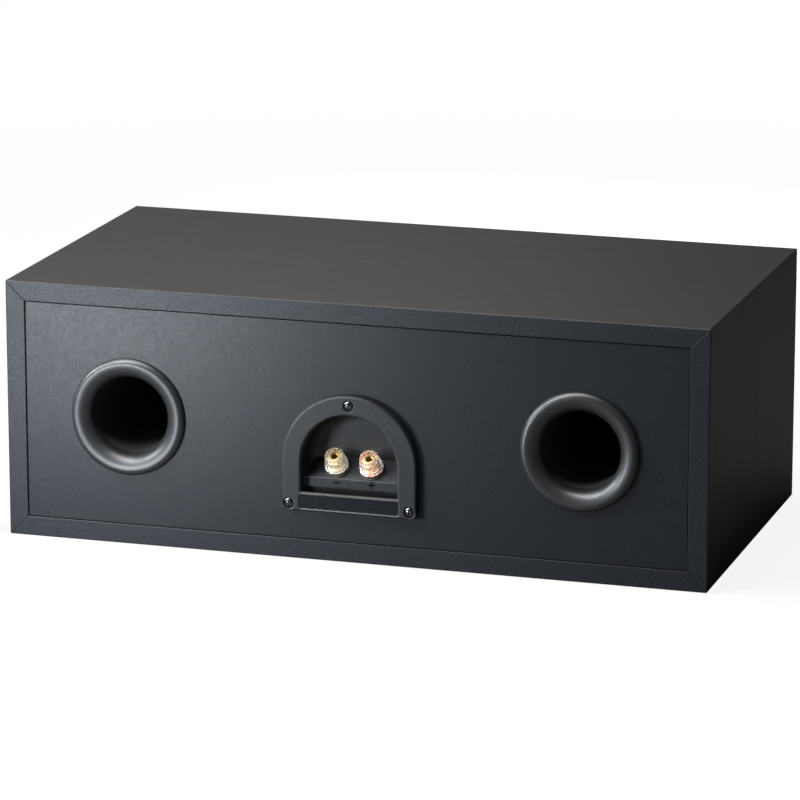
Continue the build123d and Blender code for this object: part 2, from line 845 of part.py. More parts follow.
def corner_points(x, radius):
    """Four screw places around a driver, at 45 degrees."""
    reach = radius * math.sqrt(0.5)
    return [(x + sx * reach, middle_z + sz * reach) for sx in (-1, 1) for sz in (-1, 1)]


def driver_screws(points):
    """Screws through a driver's flange into the baffle."""
    head_y = front_y + driver_front - screw_sink
    return [screw(Plane(origin=(x, head_y, z), x_dir=(1, 0, 0), z_dir=(0, 0, 1))) for x, z in points]


woofer_points = corner_points(-woofer_x, woofer_screw_ring) + corner_points(woofer_x, woofer_screw_ring)
group(driver_screws(woofer_points), "woofer_screws")

# Tweeter: horn plate, dome with its roll and coil, plate, magnet and yoke
tweeter_plane = front_turning(0)
tweeter_axis = Axis(tweeter_plane.origin, tweeter_plane.y_dir)
tweeter_facing = Plane(tweeter_plane.origin, x_dir=(-1, 0, 0), z_dir=(0, 1, 0))
throat_h = driver_front - horn_depth
boss_low = throat_h - boss_wall
dome_low = boss_low - dome_film
dome_outer = dome_radius + dome_roll
tweeter_plate_low = dome_low - tweeter_plate
tweeter_magnet_low = tweeter_plate_low - tweeter_magnet_height
tweeter_yoke_low = tweeter_magnet_low - tweeter_plate
tweeter_pole = dome_radius - dome_coil_wall - tweeter_gap
tweeter_plate_radius = tweeter_magnet_radius - tweeter_plate_inset

with BuildPart() as tweeter_plate_front:
    with BuildSketch(tweeter_plane):
        with BuildLine():
            middle_radius = (horn_radius + 2 * throat_radius) / 3
            horn = ThreePointArc(
                (throat_radius + 2.0, throat_h),
                (middle_radius, driver_front - 0.3 * horn_depth),
                (horn_radius, driver_front),
            )
            Polyline(
                horn @ 1,
                (tweeter_radius, driver_front),
                (tweeter_radius, -driver_rebate),
                (boss_radius, -driver_rebate),
                (boss_radius, boss_low),
                (dome_outer, boss_low),
                horn @ 0,
            )
        make_face()
    revolve(axis=tweeter_axis)
    with BuildSketch(tweeter_facing.offset(driver_front)):
        with PolarLocations(tweeter_screw_ring, 4, start_angle=45):
            Circle(screw_head_radius + screw_play)
    extrude(amount=-screw_sink, mode=Mode.SUBTRACT)
    with BuildSketch(tweeter_facing.offset(driver_front)):
        with PolarLocations(tweeter_screw_ring, 4, start_angle=45):
            Circle(screw_pilot + screw_play)
    extrude(amount=-driver_flange - 1, mode=Mode.SUBTRACT)
keep(tweeter_plate_front.part, "tweeter_faceplate")

with BuildPart() as tweeter_dome:
    with BuildSketch(tweeter_plane):
        with BuildLine():
            roll_middle = dome_radius + dome_roll / 2
            roll_rise = dome_roll / 2
            cap_arc = dome_arc(dome_radius, dome_rise, boss_low)
            roll_top = (roll_middle, boss_low + roll_rise)
            roll_arc = ThreePointArc(cap_arc @ 0, roll_top, (dome_outer, boss_low))
            Polyline(
                roll_arc @ 1,
                (dome_outer + dome_lip, boss_low),
                (dome_outer + dome_lip, dome_low),
                (dome_radius, dome_low),
                (dome_radius, dome_low - dome_coil_length),
                (dome_radius - dome_coil_wall, dome_low - dome_coil_length),
                (dome_radius - dome_coil_wall, dome_low),
            )
            inner_arc = dome_arc(dome_radius - dome_coil_wall, dome_rise, dome_low)
            Line(inner_arc @ 1, cap_arc @ 1)
        make_face()
    revolve(axis=tweeter_axis)
keep(tweeter_dome.part, "tweeter_dome")

keep(
    ring(tweeter_plane, dome_radius + tweeter_gap, tweeter_plate_radius, tweeter_plate_low, dome_low),
    "tweeter_top_plate",
)
tweeter_magnet_hole = dome_radius + tweeter_magnet_gap
keep(
    ring(tweeter_plane, tweeter_magnet_hole, tweeter_magnet_radius, tweeter_magnet_low, tweeter_plate_low),
    "tweeter_magnet",
)
tweeter_yoke_outline = [
    (0, tweeter_yoke_low),
    (tweeter_plate_radius, tweeter_yoke_low),
    (tweeter_plate_radius, tweeter_magnet_low),
    (tweeter_pole, tweeter_magnet_low),
    (tweeter_pole, dome_low),
    (0, dome_low),
]
keep(turned(tweeter_plane, tweeter_yoke_outline), "tweeter_yoke")
group(driver_screws(corner_points(0, tweeter_screw_ring)), "tweeter_screws")

# Crossover board on four standoffs above the bottom board
with BuildPart() as crossover_board:
    with BuildSketch(Plane.XY.offset(circuit_low)):
        with Locations((0, circuit_y)):
            RectangleRounded(circuit_width, circuit_depth, 2.0)
        with Locations(*circuit_corners):
            Circle(screw_pilot, mode=Mode.SUBTRACT)
    extrude(amount=circuit_thickness)
keep(crossover_board.part, "crossover_board")

standoffs = [
    ring(upright_turning(x, y, board), screw_pilot, standoff_radius, 0, standoff_height)
    for x, y in circuit_corners
]
group(standoffs, "crossover_standoffs")

circuit_screws = [
    screw(Plane(origin=(x, y, circuit_top), x_dir=(1, 0, 0), z_dir=(0, -1, 0)), circuit_screw_length)
    for x, y in circuit_corners
]
group(circuit_screws, "crossover_screws")


def choke(x, y, radius, height):
    """Coil wound on a flanged bobbin."""
    outline = [
        (radius / 3, 0),
        (radius, 0),
        (radius, bobbin_flange),
        (radius - bobbin_step, bobbin_flange),
        (radius - bobbin_step, height - bobbin_flange),
        (radius, height - bobbin_flange),
        (radius, height),
        (radius / 3, height),
    ]
    return turned(upright_turning(x, y, circuit_top), outline)


choke_x = -circuit_width / 4 + standoff_radius
circuit_front = circuit_y + circuit_depth / 2
keep(choke(choke_x, circuit_y, choke_radius, choke_height), "woofer_choke")
capacitor_rows = [circuit_front - part_gap - capacitor_radius * (1 + 2.1 * row) for row in (0, 1)]
small_choke_y = capacitor_rows[1] - capacitor_radius - part_gap - small_choke_radius
keep(choke(-choke_x, small_choke_y, small_choke_radius, small_choke_height), "tweeter_choke")

capacitors = []
for row_y in capacitor_rows:
    with BuildPart() as capacitor:
        start = Plane(
            origin=(-choke_x - capacitor_length / 2, row_y, circuit_top + capacitor_radius), z_dir=(1, 0, 0)
        )
        with BuildSketch(start):
            Circle(capacitor_radius)
        extrude(amount=capacitor_length)
        fillet(capacitor.edges().filter_by(GeomType.CIRCLE), capacitor_radius / 6)
    capacitors.append(capacitor.part)
group(capacitors, "capacitors")

with BuildPart() as resistor:
    resistor_y = circuit_y - choke_radius - part_gap - resistor_side / 2
    with Locations((choke_x, resistor_y, circuit_top + resistor_side / 2)):
        Box(resistor_length, resistor_side, resistor_side)
    fillet(resistor.edges().filter_by(Axis.X), resistor_side / 10)
keep(resistor.part, "resistor")

# Wiring between the posts, the crossover and the drivers
input_wires = []
for side in (-1, 1):
    tag_end = post_slope * (nut_flats / 2 + tag_reach - tag_width / 2)
    start = Vector(side * post_spacing / 2, post_y, post_z) + tag_end + post_axis * nut_top
    turn = start - post_axis * (2.2 * wire_bend)
    landing_y = circuit_y - circuit_depth / 2 + wire_pitch
    input_wires.append(
        wire([start, turn, (turn.X, landing_y, turn.Z), (turn.X, landing_y, circuit_top)])
    )
group(input_wires, "input_leads")

lug_y = front_y + frame_lug_h - lug_thickness
lug_z = middle_z - lug_radius + wire_pitch
woofer_wires = []
for side in (-1, 1):
    for step in (-0.5, 0.5):
        pad_x = side * (circuit_width / 2 - wire_pitch)
        pad_y = circuit_y - step * wire_pitch
        lug_x = side * (woofer_x + step * wire_pitch)
        route = [(pad_x, pad_y, circuit_top), (pad_x, pad_y, lug_z)]
        route += [(lug_x, pad_y, lug_z), (lug_x, lug_y, lug_z)]
        woofer_wires.append(wire(route))
group(woofer_wires, "woofer_leads")

tweeter_wires = []
for step in (-0.5, 0.5):
    pad_y = circuit_front - wire_pitch
    tag_z = middle_z - (tweeter_magnet_radius + boss_radius) / 2 - wire_radius / 2
    route = [(step * wire_pitch, pad_y, circuit_top), (step * wire_pitch, pad_y, tag_z)]
    route.append((step * wire_pitch, front_y + boss_low, tag_z))
    tweeter_wires.append(wire(route))
group(tweeter_wires, "tweeter_leads")
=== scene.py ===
import math

import bmesh
import bpy
from mathutils import Matrix, Vector, noise


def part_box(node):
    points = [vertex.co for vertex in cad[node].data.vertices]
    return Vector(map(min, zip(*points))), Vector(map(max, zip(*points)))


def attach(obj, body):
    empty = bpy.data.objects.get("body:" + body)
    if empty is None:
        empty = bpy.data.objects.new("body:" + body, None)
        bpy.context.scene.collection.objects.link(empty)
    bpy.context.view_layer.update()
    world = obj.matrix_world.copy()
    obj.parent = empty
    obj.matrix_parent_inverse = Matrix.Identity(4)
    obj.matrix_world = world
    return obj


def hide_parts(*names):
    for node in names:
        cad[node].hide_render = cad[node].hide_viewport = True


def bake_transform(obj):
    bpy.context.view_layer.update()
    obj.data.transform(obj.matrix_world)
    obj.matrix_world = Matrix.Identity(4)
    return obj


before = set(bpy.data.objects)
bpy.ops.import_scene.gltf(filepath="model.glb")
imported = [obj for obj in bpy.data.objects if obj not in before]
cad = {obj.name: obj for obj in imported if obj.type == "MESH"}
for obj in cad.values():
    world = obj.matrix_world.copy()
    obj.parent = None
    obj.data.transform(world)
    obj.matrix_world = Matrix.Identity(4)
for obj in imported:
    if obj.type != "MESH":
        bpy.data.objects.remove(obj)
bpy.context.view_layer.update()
scene = bpy.context.scene

# Sizes and places in metres, read from the frame where a solid gives them

MM = 0.001

CABINET_WIDTH = 2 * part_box("right_panel")[1].x
CABINET_DEPTH = 2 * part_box("top_panel")[1].y
CABINET_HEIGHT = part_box("top_panel")[1].z
MIDDLE_Z = CABINET_HEIGHT / 2
FRONT_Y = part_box("front_baffle")[1].y
# Where the painted shade down the port bores begins, and how far it fades in
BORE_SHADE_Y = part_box("left_port")[0].y + 7.7 * MM
BORE_SHADE_FADE = 8 * MM

CUP_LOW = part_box("terminal_cup")[0]
CUP_FACE_Y = CUP_LOW.y
LABEL_TOP = CUP_LOW.z + 11.0 * MM
LEDGE_LOW = CUP_LOW.z + 14.65 * MM
LEDGE_FACE_Y = CUP_FACE_Y + 7.1 * MM

SIGN_Z = CUP_LOW.z + 18.3 * MM
SIGN_SHIFT = 1.5 * MM
SIGN_WIDTH = 4.6 * MM
SIGN_THICK = 0.1 * MM
SIGN_LIFT = 0.03 * MM
MINUS_STROKE = 1.0 * MM
PLUS_STROKE = 0.9 * MM
PLUS_ARM = 1.9 * MM
PLUS_ARM_Z = 1.4 * MM

LIP_OUTER = 57.9 * MM
LIP_INNER = 42.5 * MM
LIP_HEIGHT = 0.8 * MM
RUBBER_SHEET = 0.8 * MM
ROLL_CREST = 50.0 * MM
ROLL_REACH = 4.0 * MM
ROLL_UNDER_REACH = 3.3 * MM
ROLL_RISE = 4.0 * MM
ROLL_STEPS = 12
RING_STEPS = 144
WOOFER_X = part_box("right_woofer_surround")[1].x - LIP_OUTER

PAD_CUTS = 23
PAD_ROUNDING = 0.28
PAD_SQUARENESS = 6
PAD_LUMP = 1.6 * MM
PAD_LUMPS = Vector((9, 21, 17))
PAD_WAVER = 0.02
PAD_WAVES = Vector((7, 5, 7))

STEPS_PER_TURN = 40
WIRE_SIDES = 8

# Camera and studio, in metres; the sensor and the lens are in millimetres

CAMERA_PLACE = (0.8775, -2.8536, 0.8333)
CAMERA_BACK = (0.28634, -0.92613, 0.2457)
CAMERA_SENSOR = 36.0
CAMERA_LENS = 213.65
CAMERA_REACH = 100.0

WORLD_LIGHT = 0.075
WORLD_MIRRORED = 0.06
FLOOR_HALF = 30.0
FLOOR_DROP = 0.4 * MM
FLOOR_NEAR = 0.4
FLOOR_FAR = 1.6
FLOOR_NEAR_WHITE = 0.89
CARD_GAP = 0.2 * MM
CARD_REACH = 60 * MM
CARD_INSET = 3 * MM
WARM_WHITE = (1.0, 0.985, 0.95)


# Node helpers


def node(tree, kind, **settings):
    """Adds one node with its settings."""
    made = tree.nodes.new(kind)
    for name, value in settings.items():
        setattr(made, name, value)
    return made


def feed(tree, socket, value):
    """Gives a socket a link from another socket, or a constant."""
    if isinstance(value, bpy.types.NodeSocket):
        tree.links.new(value, socket)
    else:
        socket.default_value = value


def maths(tree, operation, first, second=None, clamp=False):
    """A Math node fed by sockets or numbers."""
    made = node(tree, "ShaderNodeMath", operation=operation, use_clamp=clamp)
    feed(tree, made.inputs[0], first)
    if second is not None:
        feed(tree, made.inputs[1], second)
    return made.outputs[0]


def scaled(tree, value, factor):
    """A value times a factor."""
    return maths(tree, "MULTIPLY", value, factor)


def shared_out(tree, first, second, share):
    """Sum of two values, the first with a share and the second with the rest."""
    return maths(tree, "ADD", scaled(tree, first, share), scaled(tree, second, 1 - share))


def spread(tree, value, low, high, new_low=0.0, new_high=1.0, smooth=False):
    """Maps a value from one range onto another, held at both ends."""
    made = node(tree, "ShaderNodeMapRange", clamp=True)
    if smooth:
        made.interpolation_type = "SMOOTHSTEP"
    settings = {"Value": value, "From Min": low, "From Max": high, "To Min": new_low, "To Max": new_high}
    for label, number in settings.items():
        feed(tree, made.inputs[label], number)
    return made.outputs["Result"]


def between(tree, share, first, second):
    """Goes from the first value to the second as a share goes from nought to one."""
    return spread(tree, share, 0.0, 1.0, first, second)


def below(tree, value, limit, blur):
    """One under a limit and nought above it, with a soft step."""
    return spread(tree, value, limit - blur, limit + blur, 1.0, 0.0)


def tint(tree, factor, first, second):
    """Mixes two colours, each a socket or four numbers."""
    made = node(tree, "ShaderNodeMix", data_type="RGBA")
    tree.links.new(factor, made.inputs[0])
    feed(tree, made.inputs[6], first)
    feed(tree, made.inputs[7], second)
    return made.outputs[2]


def cloud(tree, vector, scale, detail=2.0, roughness=0.5):
    """Noise value at a scale in cycles per metre."""
    made = node(tree, "ShaderNodeTexNoise")
    tree.links.new(vector, made.inputs["Vector"])
    for label, value in (("Scale", scale), ("Detail", detail), ("Roughness", roughness)):
        feed(tree, made.inputs[label], value)
    return made.outputs["Fac"]


def object_place(tree):
    """The place on the object, in metres."""
    return node(tree, "ShaderNodeTexCoord").outputs["Object"]


def object_axes(tree):
    """The X, Y and Z of the place on the object."""
    split = node(tree, "ShaderNodeSeparateXYZ")
    tree.links.new(object_place(tree), split.inputs[0])
    return split.outputs


def from_face(tree, coordinate, half, middle=0.0):
    """Distance inwards from the nearer of two faces, each half a size away from the middle."""
    offset = maths(tree, "ABSOLUTE", maths(tree, "SUBTRACT", coordinate, middle))
    return maths(tree, "SUBTRACT", half, offset)


def shared_effect(name, inputs, outputs):
    """An empty shader group with named value inputs and named outputs."""
    tree = bpy.data.node_groups.new(name, "ShaderNodeTree")
    for label, value in inputs.items():
        socket = tree.interface.new_socket(label, in_out="INPUT", socket_type="NodeSocketFloat")
        socket.default_value = value
    for label in outputs:
        kind = "NodeSocketVector" if label == "Normal" else "NodeSocketFloat"
        tree.interface.new_socket(label, in_out="OUTPUT", socket_type=kind)
    entry = node(tree, "NodeGroupInput")
    leave = node(tree, "NodeGroupOutput")
    return tree, entry.outputs, leave.inputs


def apply_effect(tree, effect, **values):
    """Places a shared effect in a node tree with its own values."""
    made = node(tree, "ShaderNodeGroup", node_tree=effect)
    for label, value in values.items():
        feed(tree, made.inputs[label.replace("_", " ")], value)
    return made.outputs


# Shared surface effects


def pebble_effect():
    """Fine leather-like pebble of printed vinyl and etched mould steel."""
    tree, given, out = shared_effect("Pebble", {"Scale": 900.0}, ["Speckle", "Height"])
    place = object_place(tree)
    fine = cloud(tree, place, given["Scale"], detail=1.0, roughness=0.6)
    coarse = cloud(tree, place, scaled(tree, given["Scale"], 0.31), detail=2.0, roughness=0.55)
    both = shared_out(tree, fine, coarse, share=0.65)
    tree.links.new(spread(tree, both, 0.36, 0.64), out["Speckle"])
    tree.links.new(both, out["Height"])
    return tree


def mottle_effect():
    """Slow uneven tone over a whole piece, as handled surfaces have."""
    tree, given, out = shared_effect("Mottle", {"Scale": 14.0}, ["Tone"])
    tone = cloud(tree, object_place(tree), given["Scale"], detail=3.0, roughness=0.55)
    tree.links.new(spread(tree, tone, 0.3, 0.7), out["Tone"])
    return tree


def etched_effect():
    """Etched mould surface: its speckle and height, and a wear that mixes speckle and slow tone."""
    tree, given, out = shared_effect("Etched", {"Scale": 1800.0}, ["Speckle", "Height", "Wear"])
    pebble = apply_effect(tree, PEBBLE, Scale=given["Scale"])
    tone = apply_effect(tree, MOTTLE, Scale=26.0)["Tone"]
    tree.links.new(pebble["Speckle"], out["Speckle"])
    tree.links.new(pebble["Height"], out["Height"])
    tree.links.new(shared_out(tree, pebble["Speckle"], tone, share=0.5), out["Wear"])
    return tree


def grain_effect():
    """Grain drawn out along the axis that has the fewest cycles per metre."""
    cycles = {"Cycles X": 420.0, "Cycles Y": 420.0, "Cycles Z": 420.0}
    shape = {"Detail": 3.0, "Roughness": 0.62, "Low": 0.32, "High": 0.68}
    tree, given, out = shared_effect("Drawn Grain", cycles | shape, ["Grain"])
    counts = node(tree, "ShaderNodeCombineXYZ")
    for axis in "XYZ":
        tree.links.new(given["Cycles " + axis], counts.inputs[axis])
    drawn = node(tree, "ShaderNodeVectorMath", operation="MULTIPLY")
    tree.links.new(object_place(tree), drawn.inputs[0])
    tree.links.new(counts.outputs[0], drawn.inputs[1])
    value = cloud(tree, drawn.outputs[0], 1.0, given["Detail"], given["Roughness"])
    tree.links.new(spread(tree, value, given["Low"], given["High"]), out["Grain"])
    return tree


def edge_rub_and_highlight_effect():
    """Mask along the folded edges of the cabinet, broken up by noise, for rubbing wear and painted highlight
    along the folds.
    """
    tree, given, out = shared_effect("Edge Rub And Highlight", {"Reach": 1.5 * MM}, ["Mask"])
    x, y, z = object_axes(tree)
    side = from_face(tree, x, CABINET_WIDTH / 2)
    ends = from_face(tree, y, CABINET_DEPTH / 2)
    level = from_face(tree, z, MIDDLE_Z, MIDDLE_Z)
    nearest = maths(tree, "MINIMUM", maths(tree, "MINIMUM", side, ends), level)
    farthest = maths(tree, "MAXIMUM", maths(tree, "MAXIMUM", side, ends), level)
    total = maths(tree, "ADD", maths(tree, "ADD", side, ends), level)
    second = maths(tree, "SUBTRACT", maths(tree, "SUBTRACT", total, nearest), farthest)
    near = maths(tree, "SUBTRACT", 1.0, spread(tree, second, 0.0, given["Reach"], smooth=True))
    patches = cloud(tree, object_place(tree), 90.0, detail=3.0, roughness=0.6)
    broken = spread(tree, patches, 0.35, 0.62)
    tree.links.new(maths(tree, "MULTIPLY", near, broken), out["Mask"])
    return tree


def board_end_effect():
    """Mask over the front and rear edges of the boards, faded out within a short distance."""
    tree, given, out = shared_effect("Board End", {"Fade": 0.3 * MM}, ["Mask"])
    ends = from_face(tree, object_axes(tree)[1], CABINET_DEPTH / 2)
    twice = scaled(tree, given["Fade"], 2.0)
    mask = spread(tree, ends, given["Fade"], twice, new_low=1.0, new_high=0.0)
    tree.links.new(mask, out["Mask"])
    return tree


def mitre_effect():
    """Thin line where two boards of the wrap meet at 45 degrees."""
    tree, given, out = shared_effect("Mitre Seam", {"Width": 0.3 * MM}, ["Line"])
    axes = object_axes(tree)
    side = from_face(tree, axes[0], CABINET_WIDTH / 2)
    level = from_face(tree, axes[2], MIDDLE_Z, MIDDLE_Z)
    apart = maths(tree, "ABSOLUTE", maths(tree, "SUBTRACT", side, level))
    line = maths(tree, "SUBTRACT", 1.0, spread(tree, apart, 0.0, given["Width"], smooth=True))
    inside = spread(tree, side, 0.4 * MM, 1.0 * MM)
    tree.links.new(maths(tree, "MULTIPLY", line, inside), out["Line"])
    return tree


def weave_effect():
    """Crossed threads of a cloth."""
    tree, given, out = shared_effect("Weave", {"Scale": 700.0}, ["Thread"])
    waves = []
    for direction in ("X", "Z"):
        wave = node(tree, "ShaderNodeTexWave", bands_direction=direction)
        wave.inputs["Distortion"].default_value = 0.6
        tree.links.new(object_place(tree), wave.inputs["Vector"])
        tree.links.new(given["Scale"], wave.inputs["Scale"])
        waves.append(wave.outputs["Fac"])
    tree.links.new(maths(tree, "MAXIMUM", *waves), out["Thread"])
    return tree


def soft_edge_effect():
    """Normal that rounds sharp edges by a small radius, and a mask along those edges."""
    tree, given, out = shared_effect("Soft Edge", {"Radius": 0.5 * MM}, ["Normal", "Mask"])
    edge = node(tree, "ShaderNodeBevel", samples=6)
    tree.links.new(given["Radius"], edge.inputs["Radius"])
    turned = node(tree, "ShaderNodeVectorMath", operation="DOT_PRODUCT")
    tree.links.new(edge.outputs["Normal"], turned.inputs[0])
    tree.links.new(node(tree, "ShaderNodeNewGeometry").outputs["Normal"], turned.inputs[1])
    tree.links.new(edge.outputs["Normal"], out["Normal"])
    mask = spread(tree, turned.outputs["Value"], 0.8, 0.99, new_low=1.0, new_high=0.0)
    tree.links.new(mask, out["Mask"])
    return tree


PEBBLE = pebble_effect()
MOTTLE = mottle_effect()
ETCHED = etched_effect()
GRAIN = grain_effect()
EDGE_RUB_AND_HIGHLIGHT = edge_rub_and_highlight_effect()
BOARD_END = board_end_effect()
MITRE = mitre_effect()
WEAVE = weave_effect()
SOFT_EDGE = soft_edge_effect()


# Finishes


def finish(name, **sockets):
    """A material with its shader and the shader's constant values set."""
    made = bpy.data.materials.new(name)
    made.use_nodes = True
    tree = made.node_tree
    shader = tree.nodes["Principled BSDF"]
    for label, value in sockets.items():
        shader.inputs[label.replace("_", " ")].default_value = value
    return made, tree, shader.inputs


def raise_bump(tree, sockets, height, strength, distance, rounding=0.0):
    """Feeds a height to the shader's normal, with sharp edges softened where a rounding is given."""
    bump = node(tree, "ShaderNodeBump")
    if rounding:
        softened = apply_effect(tree, SOFT_EDGE, Radius=rounding)["Normal"]
        tree.links.new(softened, bump.inputs["Normal"])
    bump.inputs["Strength"].default_value = strength
    bump.inputs["Distance"].default_value = distance
    tree.links.new(height, bump.inputs["Height"])
    tree.links.new(bump.outputs["Normal"], sockets["Normal"])


def wrap_vinyl(name, along):
    """Satin black vinyl of the boards, with grain along one axis and speckled board ends."""
    made, tree, sockets = finish(name, Specular_IOR_Level=0.4)
    dark, light = (0.0132, 0.0132, 0.0126, 1), (0.0160, 0.0160, 0.0152, 1)
    end_dark, end_light = (0.0036, 0.0048, 0.0076, 1), (0.0235, 0.0272, 0.0350, 1)
    faded, rubbed_and_highlit, gap = (0.021, 0.021, 0.020, 1), (0.06, 0.06, 0.06, 1), (0.004, 0.004, 0.004, 1)
    grain = apply_effect(tree, GRAIN, **{"Cycles_" + along: 7.0})["Grain"]
    end = apply_effect(tree, BOARD_END, Fade=0.3 * MM)["Mask"]
    tone = apply_effect(tree, MOTTLE, Scale=9.0)["Tone"]
    pebble = apply_effect(tree, PEBBLE, Scale=1400.0)
    rub_and_highlight = apply_effect(tree, EDGE_RUB_AND_HIGHLIGHT, Reach=1.2 * MM)["Mask"]
    seam = apply_effect(tree, MITRE, Width=0.45 * MM)["Line"]
    colour = tint(tree, grain, dark, light)
    colour = tint(tree, scaled(tree, tone, 0.25), colour, faded)
    colour = tint(tree, end, colour, tint(tree, pebble["Speckle"], end_dark, end_light))
    # Partly wear from rubbing, partly painted highlight: the folded edges are coloured lighter
    colour = tint(tree, scaled(tree, rub_and_highlight, 0.5), colour, rubbed_and_highlit)
    colour = tint(tree, seam, colour, gap)
    tree.links.new(colour, sockets["Base Color"])
    satin = between(tree, grain, 0.45, 0.39)
    coarse = between(tree, pebble["Speckle"], 0.5, 0.34)
    tree.links.new(between(tree, end, satin, coarse), sockets["Roughness"])
    pebbled = maths(tree, "MULTIPLY", pebble["Height"], between(tree, end, 0.7, 3.6))
    height = maths(tree, "ADD", scaled(tree, grain, 0.18), pebbled)
    height = maths(tree, "SUBTRACT", height, scaled(tree, seam, 2.0))
    raise_bump(tree, sockets, height, strength=0.45, distance=0.15 * MM, rounding=0.6 * MM)
    return made


def panel_vinyl():
    """Fine-pebbled vinyl of the rear panel and the baffle."""
    made, tree, sockets = finish("panel_vinyl", Specular_IOR_Level=0.45)
    dark, light, faded = (0.0018, 0.0030, 0.0058, 1), (0.0112, 0.0146, 0.0208, 1), (0.014, 0.017, 0.0215, 1)
    pebble = apply_effect(tree, PEBBLE, Scale=1150.0)
    tone = apply_effect(tree, MOTTLE, Scale=11.0)["Tone"]
    colour = tint(tree, pebble["Speckle"], dark, light)
    colour = tint(tree, scaled(tree, tone, 0.2), colour, faded)
    tree.links.new(colour, sockets["Base Color"])
    tree.links.new(between(tree, pebble["Speckle"], 0.47, 0.36), sockets["Roughness"])
    raise_bump(tree, sockets, pebble["Height"], strength=0.55, distance=0.25 * MM)
    return made


def moulded_plastic(name, dark, light, smooth, dull, scale, shine=0.5):
    """Moulded plastic, paint or another plain material with an etched surface."""
    made, tree, sockets = finish(name, Specular_IOR_Level=shine)
    etched = apply_effect(tree, ETCHED, Scale=scale)
    tree.links.new(tint(tree, etched["Speckle"], dark, light), sockets["Base Color"])
    tree.links.new(between(tree, etched["Wear"], smooth, dull), sockets["Roughness"])
    raise_bump(tree, sockets, etched["Height"], strength=0.18, distance=0.1 * MM)
    return made


def port_plastic():
    """Satin moulded plastic of the ports, dull down the bore, where painted shade darkens the colour to
    black.
    """
    made, tree, sockets = finish("port_plastic", Specular_IOR_Level=0.95)
    dark, light, black = (0.010, 0.011, 0.013, 1), (0.016, 0.0175, 0.020, 1), (0.001, 0.001, 0.001, 1)
    # Painted shade: down the bore the colour goes to black, where the port lies in shade
    bore = spread(tree, object_axes(tree)[1], BORE_SHADE_Y, BORE_SHADE_Y + BORE_SHADE_FADE, smooth=True)
    etched = apply_effect(tree, ETCHED, Scale=2600.0)
    colour = tint(tree, etched["Speckle"], dark, light)
    tree.links.new(tint(tree, bore, colour, black), sockets["Base Color"])
    rough = between(tree, etched["Wear"], 0.35, 0.45)
    tree.links.new(maths(tree, "ADD", rough, scaled(tree, bore, 0.45)), sockets["Roughness"])
    raise_bump(tree, sockets, etched["Height"], strength=0.18, distance=0.1 * MM)
    return made


def cup_plastic():
    """Etched black plastic of the terminal cup: smooth dark label recess, painted shade and a duller surface
    in the trench under the ledge, and painted highlights along the edges.
    """
    made, tree, sockets = finish("cup_plastic", Specular_IOR_Level=0.5)
    dark, light, painted_edge_highlight = (0.006, 0.0075, 0.0095, 1), (0.021, 0.0235, 0.027, 1), (0.16, 0.165, 0.17, 1)
    label_black, painted_trench_shade = (0.004, 0.006, 0.0095, 1), (0.004, 0.004, 0.005, 1)
    axes = object_axes(tree)
    depth = maths(tree, "SUBTRACT", axes[1], CUP_FACE_Y)
    sunk = spread(tree, depth, 0.3 * MM, 0.6 * MM)
    shallow = spread(tree, depth, 1.2 * MM, 1.5 * MM, new_low=1.0, new_high=0.0)
    behind_sill = spread(tree, depth, 3 * MM, 4 * MM)
    below_sill = below(tree, axes[2], LABEL_TOP, blur=0.2 * MM)
    under_ledge = below(tree, axes[2], LEDGE_LOW, blur=0.2 * MM)
    label = maths(tree, "MULTIPLY", maths(tree, "MULTIPLY", below_sill, sunk), shallow)
    # Painted shade mask: the trench under the ledge, behind the sill
    trench = maths(tree, "MULTIPLY", under_ledge, behind_sill)
    edge_highlight = apply_effect(tree, SOFT_EDGE, Radius=0.8 * MM)["Mask"]
    pebble = apply_effect(tree, PEBBLE, Scale=1100.0)
    colour = tint(tree, pebble["Speckle"], dark, light)
    colour = tint(tree, label, colour, label_black)
    # Painted shade: the trench under the ledge is coloured nearly black where shade falls
    colour = tint(tree, trench, colour, painted_trench_shade)
    # Painted highlight: the cup's sharp edges are coloured light grey and made smoother, in place of the
    # glint along them
    colour = tint(tree, scaled(tree, edge_highlight, 0.9), colour, painted_edge_highlight)
    tree.links.new(colour, sockets["Base Color"])
    rough = between(tree, pebble["Speckle"], 0.52, 0.42)
    rough = maths(tree, "ADD", rough, scaled(tree, trench, 0.3))
    rough = maths(tree, "SUBTRACT", rough, scaled(tree, label, 0.25))
    rough = maths(tree, "SUBTRACT", rough, scaled(tree, edge_highlight, 0.2))
    tree.links.new(rough, sockets["Roughness"])
    raise_bump(tree, sockets, pebble["Height"], strength=0.6, distance=0.2 * MM, rounding=1.0 * MM)
    return made


def metal(name, dark, light, smooth, dull, scale, rounding=0.0):
    """Plated or plain metal with a little tarnish and handling."""
    made, tree, sockets = finish(name, Metallic=1.0)
    pebble = apply_effect(tree, PEBBLE, Scale=scale)
    tone = apply_effect(tree, MOTTLE, Scale=160.0)["Tone"]
    tree.links.new(tint(tree, tone, dark, light), sockets["Base Color"])
    tree.links.new(between(tree, pebble["Speckle"], smooth, dull), sockets["Roughness"])
    raise_bump(tree, sockets, pebble["Height"], strength=0.06, distance=0.05 * MM, rounding=rounding)
    return made


